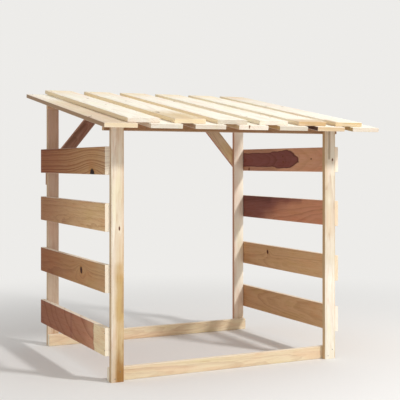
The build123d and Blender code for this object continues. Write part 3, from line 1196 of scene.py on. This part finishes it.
FLOOR_RINGS = np.array((0.5, 1, 2, 4, 8, 16, 30))
FLOOR_SIDES = 64
FLOOR_FADE = (0.8, 2.6)
KEY_DISTANCE = 4.5
TOP_DISTANCE = 4.0
TOP_SIZE = 3.0


def seen_ray(steps):
    """1 where the camera, a gloss or a glass looks, and 0 for the light's own rays."""
    rays = steps.node("ShaderNodeLightPath").outputs
    seen = steps.math("MAXIMUM", rays["Is Camera Ray"], rays["Is Glossy Ray"])
    return steps.math("MAXIMUM", seen, rays["Is Transmission Ray"])


def floor_finish(stage):
    """Plain floor that takes the object's shadow and fades into the backdrop away from it."""
    material = bpy.data.materials.new("floor")
    steps = Steps(material)
    place = steps.node("ShaderNodeTexCoord").outputs["Object"]
    steps.finish(Base_Color=linear(stage.floor), Roughness=0.9, Specular_IOR_Level=0.1)
    fade = steps.times(steps.smooth(steps.vector("LENGTH", place), *FLOOR_FADE), seen_ray(steps))
    glow = steps.node("ShaderNodeEmission", {"Color": linear(stage.backdrop), "Strength": 1.0})
    both = steps.node("ShaderNodeMixShader", {0: fade, 1: steps.shader.outputs[0], 2: glow.outputs[0]})
    steps.feed(steps.tree.nodes["Material Output"].inputs["Surface"], both.outputs[0])
    return material


def add_floor(stage):
    """A round floor of flat rings, wide enough to reach the horizon."""
    angle = np.linspace(0, 2 * pi, FLOOR_SIDES, endpoint=False)
    circle = np.stack((np.cos(angle), np.sin(angle), np.zeros(FLOOR_SIDES)), axis=1)
    faces = [face[::-1] for face in tube_faces(len(FLOOR_RINGS), FLOOR_SIDES)[:-1]]
    points = FLOOR_RINGS[:, None, None] * circle
    add_piece("floor", points, faces, floor_finish(stage), smooth=False)


def add_world(scene):
    """Even light from all round, with the backdrop where it is seen."""
    stage = scene.rack_stage
    scene.world = bpy.data.worlds.new("studio")
    steps = Steps(scene.world, "Background")
    level = stage.sky_level
    colour = steps.mix(seen_ray(steps), (level, level, level, 1), linear(stage.backdrop))
    steps.finish(Color=colour, Strength=1.0)


def add_light(name, aim, distance, size, power):
    """A round soft light that looks at the rack's middle."""
    light = bpy.data.lights.new(name, "AREA")
    light.shape = "DISK"
    light.size = size
    light.energy = power
    lamp = bpy.data.objects.new(name, light)
    lamp.location = aim * distance + Vector((0, 0, (CAD_BOX[0].z + CAD_BOX[1].z) / 2))
    lamp.rotation_euler = aim.to_track_quat("Z", "Y").to_euler()
    bpy.context.scene.collection.objects.link(lamp)


def add_camera(scene):
    """A level camera, shifted down so that the horizon lies over the picture's middle."""
    stage = scene.rack_stage
    lens = bpy.data.cameras.new("camera")
    lens.lens = stage.lens
    lens.shift_y = -stage.horizon_rise
    camera = bpy.data.objects.new("camera", lens)
    corner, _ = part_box("front_left_post")
    camera.location = Vector(corner) + Vector(stage.camera_place)
    camera.rotation_euler = (pi / 2, 0, -stage.camera_turn)
    scene.collection.objects.link(camera)
    scene.camera = camera


class RACK_OT_stage(bpy.types.Operator):
    """Make the floor, the light and the camera"""

    bl_idname = "rack.stage"
    bl_label = "Stage"

    def execute(self, context):
        scene = context.scene
        stage = scene.rack_stage
        add_floor(stage)
        add_world(scene)
        aim = Vector(stage.key_aim).normalized()
        add_light("key_light", aim, KEY_DISTANCE, stage.key_size, stage.key_power)
        add_light("top_light", Vector(Z), TOP_DISTANCE, TOP_SIZE, stage.top_power)
        add_camera(scene)
        scene.view_settings.view_transform = "Standard"
        return {"FINISHED"}


OPERATORS = (RACK_OT_posts, RACK_OT_beams_and_rails, RACK_OT_braces, RACK_OT_side_boards,
             RACK_OT_roof_boards, RACK_OT_nails, RACK_OT_stage)


class RACK_PT_panel(bpy.types.Panel):
    """Lists the operators in the sidebar"""

    bl_label = "Roofed Rack"
    bl_space_type = "VIEW_3D"
    bl_region_type = "UI"
    bl_category = "Rack"

    def draw(self, context):
        for operator in OPERATORS:
            self.layout.operator(operator.bl_idname)


CLASSES = (RackTimber, RackColours, RackStage, *OPERATORS, RACK_PT_panel)


def register():
    for made in CLASSES:
        bpy.utils.register_class(made)
    bpy.types.Scene.rack_timber = PointerProperty(type=RackTimber)
    bpy.types.Scene.rack_colours = PointerProperty(type=RackColours)
    bpy.types.Scene.rack_stage = PointerProperty(type=RackStage)


def unregister():
    del bpy.types.Scene.rack_stage
    del bpy.types.Scene.rack_colours
    del bpy.types.Scene.rack_timber
    for made in reversed(CLASSES):
        bpy.utils.unregister_class(made)


def main():
    """Makes everything in order."""
    register()
    bpy.ops.rack.posts()
    bpy.ops.rack.beams_and_rails()
    bpy.ops.rack.braces()
    bpy.ops.rack.side_boards()
    bpy.ops.rack.roof_boards()
    bpy.ops.rack.nails()
    bpy.ops.rack.stage()


if __name__ == "__main__":
    main()
